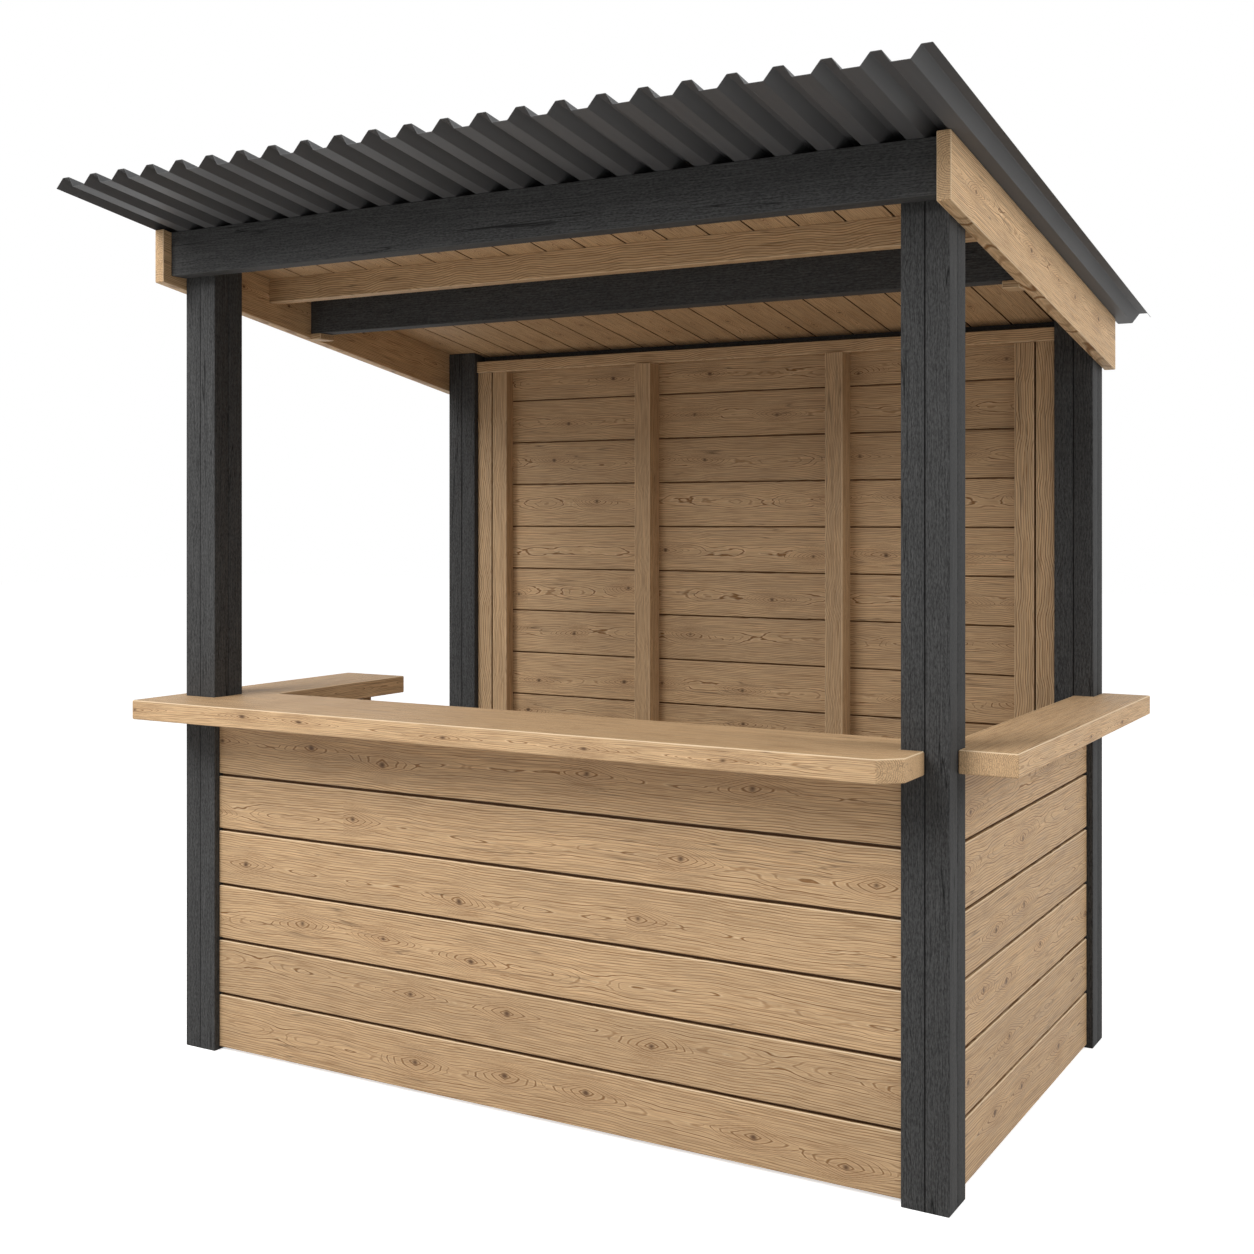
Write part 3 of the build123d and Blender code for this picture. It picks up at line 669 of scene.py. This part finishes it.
counters = {
    "nodes": {"front_counter": (1, 0, 0), "right_counter": (0, 1, 0), "left_counter": (0, 1, 0)},
    "notch": 0.001, "cornerCut": 0.050, "cornerRound": 0.012, "arris": 0.004,
    "highlightBand": (0.05, 0.6), "paintedTopShade": 0.9, "paintedEdgeLight": 2.2,  # in arrises; painted light: the top is toned darker than the edges
}
for node, along in counters["nodes"].items():
    low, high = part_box(node)
    counter = addBlock(node, low, high)
    if node == "front_counter":
        openMesh(counter)
        frontLine = low.y + shaping["near"]
        rightLine, leftLine = high.x - shaping["near"], low.x + shaping["near"]
        pickEdges(counter, lambda a, b: min(a.x, b.x) > rightLine and max(a.y, b.y) < frontLine)
        bpy.ops.mesh.bevel(offset=counters["cornerCut"], affect="EDGES", segments=1)
        pickEdges(counter, lambda a, b: max(a.x, b.x) < leftLine and max(a.y, b.y) < frontLine)
        bpy.ops.mesh.bevel(offset=counters["cornerRound"], affect="EDGES", segments=5)
        closeMesh()
    for post in posts["nodes"]:
        postLow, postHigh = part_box(post)
        if min(high.x - postLow.x, postHigh.x - low.x, high.y - postLow.y, postHigh.y - low.y) <= 0:
            continue
        room = Vector((counters["notch"], counters["notch"], 0))
        cutter = addBlock("notch_cutter", postLow - room, postHigh + room)
        addModifier(counter, "BOOLEAN", operation="DIFFERENCE", object=cutter)
        bpy.data.objects.remove(cutter)
    easeArrises(counter, counters["arris"], 4)
    halfDepth = abs(Vector(along).cross(upward).dot(high - low)) / 2
    toEdge = halfDepth * plankCut["fine"][2]
    layGrain(counter, along, upward, dict(plankCut, deep=[deep - toEdge for deep in plankCut["deep"]]))
    # Painted highlight along the top arris
    highlightFrom, highlightTo = counters["highlightBand"]
    markPoints(counter, "highlight", lambda spot: highlightFrom < (high.z - spot.z) / counters["arris"] < highlightTo)
    # Painted light: the top toned darker, the edges paler
    topLine = high.z - counters["arris"] / 2
    paintedLightTones = [counters["paintedTopShade"] if point.co.z > topLine else counters["paintedEdgeLight"]
             for point in counter.data.vertices]
    counter.data.attributes["tone"].data.foreach_set("value", paintedLightTones)
    settle(counter, node, "natural_wood")
print("counters")


# Roof sheet: one rib folded up and repeated across the roof

sheet = {
    "node": "roof_sheet", "ribPitch": 0.1065, "ribHeight": 0.028, "crestShare": 0.22, "flankShare": 0.19,
    "thickness": 0.001, "foldRadius": 0.0012, "lipShare": 0.40,
}
low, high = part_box(sheet["node"])
lean = (sheet["ribHeight"] + sheet["thickness"]) * sin(roof["pitch"])
sheetRear = high.y - lean
sheetRun = (sheetRear - low.y) / cos(roof["pitch"])
flank = sheet["ribPitch"] * sheet["flankShare"]
crest = sheet["ribPitch"] * sheet["crestShare"]
valley = sheet["ribPitch"] - 2 * flank - crest
ribCount = round((high.x - low.x + flank * (1 - sheet["lipShare"]) + valley) / sheet["ribPitch"])
rearFoot = (low.x, sheetRear, low.z)
bpy.ops.object.select_all(action="DESELECT")
bpy.ops.mesh.primitive_plane_add(size=1, location=(low.x + flank / 2, sheetRear - sheetRun / 2, low.z))
roofSheet = bpy.context.active_object
roofSheet.scale = (flank, sheetRun, 1)
bpy.ops.object.transform_apply(location=True, rotation=True, scale=True)
openMesh(roofSheet)
pickEdges(roofSheet, lambda a, b: min(a.x, b.x) > low.x + flank / 2)
bpy.ops.transform.translate(value=(0, 0, sheet["ribHeight"]))
for fold in ((crest, 0), (flank, -sheet["ribHeight"]), (valley, 0)):
    bpy.ops.mesh.extrude_region_move(TRANSFORM_OT_translate={"value": (fold[0], 0, fold[1])})
closeMesh()
addModifier(roofSheet, "ARRAY", count=ribCount, use_relative_offset=False, use_constant_offset=True,
            constant_offset_displace=(sheet["ribPitch"], 0, 0), use_merge_vertices=True)
openMesh(roofSheet)
bpy.ops.mesh.bisect(plane_co=(high.x, 0, 0), plane_no=(1, 0, 0), clear_outer=True)
bpy.ops.mesh.select_all(action="SELECT")
bpy.ops.mesh.normals_make_consistent(inside=False)
closeMesh()
easeArrises(roofSheet, sheet["foldRadius"], 2)
addModifier(roofSheet, "SOLIDIFY", thickness=sheet["thickness"], offset=1)
flattenFaces(roofSheet)
openMesh(roofSheet)
bpy.ops.transform.rotate(value=roof["pitch"], orient_axis="X", center_override=rearFoot)
closeMesh()
settle(roofSheet, sheet["node"], "charcoal_sheet")
print("roof sheet")


# Stage: pale floor, soft light, camera at the photo's place

stage = {
    "floorSize": 60, "floor": "#f6f6f5", "floorBounce": "#c4c2bf", "floorLift": 0.60,
    "horizon": 0.50, "zenith": 0.44,  # strength of the white surround, which dims overhead
    "lamps": {
        "key": {"place": (-2.6, -5.4, 5.8), "aim": (0, 0, 1.0), "size": 4.0, "watts": 480},
        "side": {"place": (6.2, 0.6, 4.4), "aim": (0, 0, 1.0), "size": 4.0, "watts": 190},
    },
}
cameraSet = {
    "place": (2.267, -3.960, 1.560), "turn": 29.97,
    "lens": 45.47, "sensor": 36, "shiftY": -0.0851,  # level and shifted, so that uprights stay upright
}


def seenDirectly(tree):  # 1 where the camera, a gloss or glass looks at it, 0 where it only lights
    ray = addNode(tree, "ShaderNodeLightPath").outputs
    clear = addNode(tree, "ShaderNodeMath", {0: ray["Is Glossy Ray"], 1: ray["Is Transmission Ray"]},
                    operation="MAXIMUM")
    return addNode(tree, "ShaderNodeMath", {0: ray["Is Camera Ray"], 1: clear.outputs[0]},
                   operation="MAXIMUM").outputs[0]


bpy.ops.object.select_all(action="DESELECT")
bpy.ops.mesh.primitive_plane_add(size=stage["floorSize"])
floor = bpy.context.active_object
floor.name = "studio_floor"
paper, tree = newMaterial("studio_paper")
seen = seenDirectly(tree)
lift = addNode(tree, "ShaderNodeMath", {0: seen, 1: stage["floorLift"]}, operation="MULTIPLY")
paperColour = addNode(tree, "ShaderNodeMix",
                      {0: seen, 6: linear(stage["floorBounce"]), 7: linear(stage["floor"])},
                      data_type="RGBA")
matt = addNode(tree, "ShaderNodeBsdfDiffuse", {"Color": paperColour.outputs[2]})
glow = addNode(tree, "ShaderNodeEmission", {"Color": (1, 1, 1, 1), "Strength": lift.outputs[0]})
both = addNode(tree, "ShaderNodeAddShader", {0: matt.outputs[0], 1: glow.outputs[0]})
addNode(tree, "ShaderNodeOutputMaterial", {0: both.outputs[0]})
floor.data.materials.append(paper)

world = bpy.data.worlds.new("studio")
bpy.context.scene.world = world
world.use_nodes = True
tree = world.node_tree
tree.nodes.clear()
outward = addNode(tree, "ShaderNodeTexCoord").outputs["Generated"]
skyward = addNode(tree, "ShaderNodeSeparateXYZ", {0: outward})
surround = addNode(tree, "ShaderNodeMapRange",
                   {"Value": skyward.outputs[2], 3: stage["horizon"], 4: stage["zenith"]})
strength = addNode(tree, "ShaderNodeMix", {0: seenDirectly(tree), 2: surround.outputs[0], 3: 1.0})
sky = addNode(tree, "ShaderNodeBackground", {"Color": (1, 1, 1, 1), "Strength": strength.outputs[0]})
addNode(tree, "ShaderNodeOutputWorld", {0: sky.outputs[0]})

for lampName, lamp in stage["lamps"].items():
    bpy.ops.object.light_add(type="AREA", location=lamp["place"])
    light = bpy.context.active_object
    light.name = lampName + "_light"
    light.data.size = lamp["size"]
    light.data.energy = lamp["watts"]
    lampLine = Vector(lamp["aim"]) - Vector(lamp["place"])
    light.rotation_euler = lampLine.to_track_quat("-Z", "Y").to_euler()

bpy.ops.object.camera_add(location=cameraSet["place"],
                          rotation=(radians(90), 0, radians(cameraSet["turn"])))
camera = bpy.context.active_object
camera.data.lens = cameraSet["lens"]
camera.data.sensor_width = cameraSet["sensor"]
camera.data.shift_y = cameraSet["shiftY"]
bpy.context.scene.camera = camera
bpy.context.scene.view_settings.view_transform = "Standard"

print("scene ready")
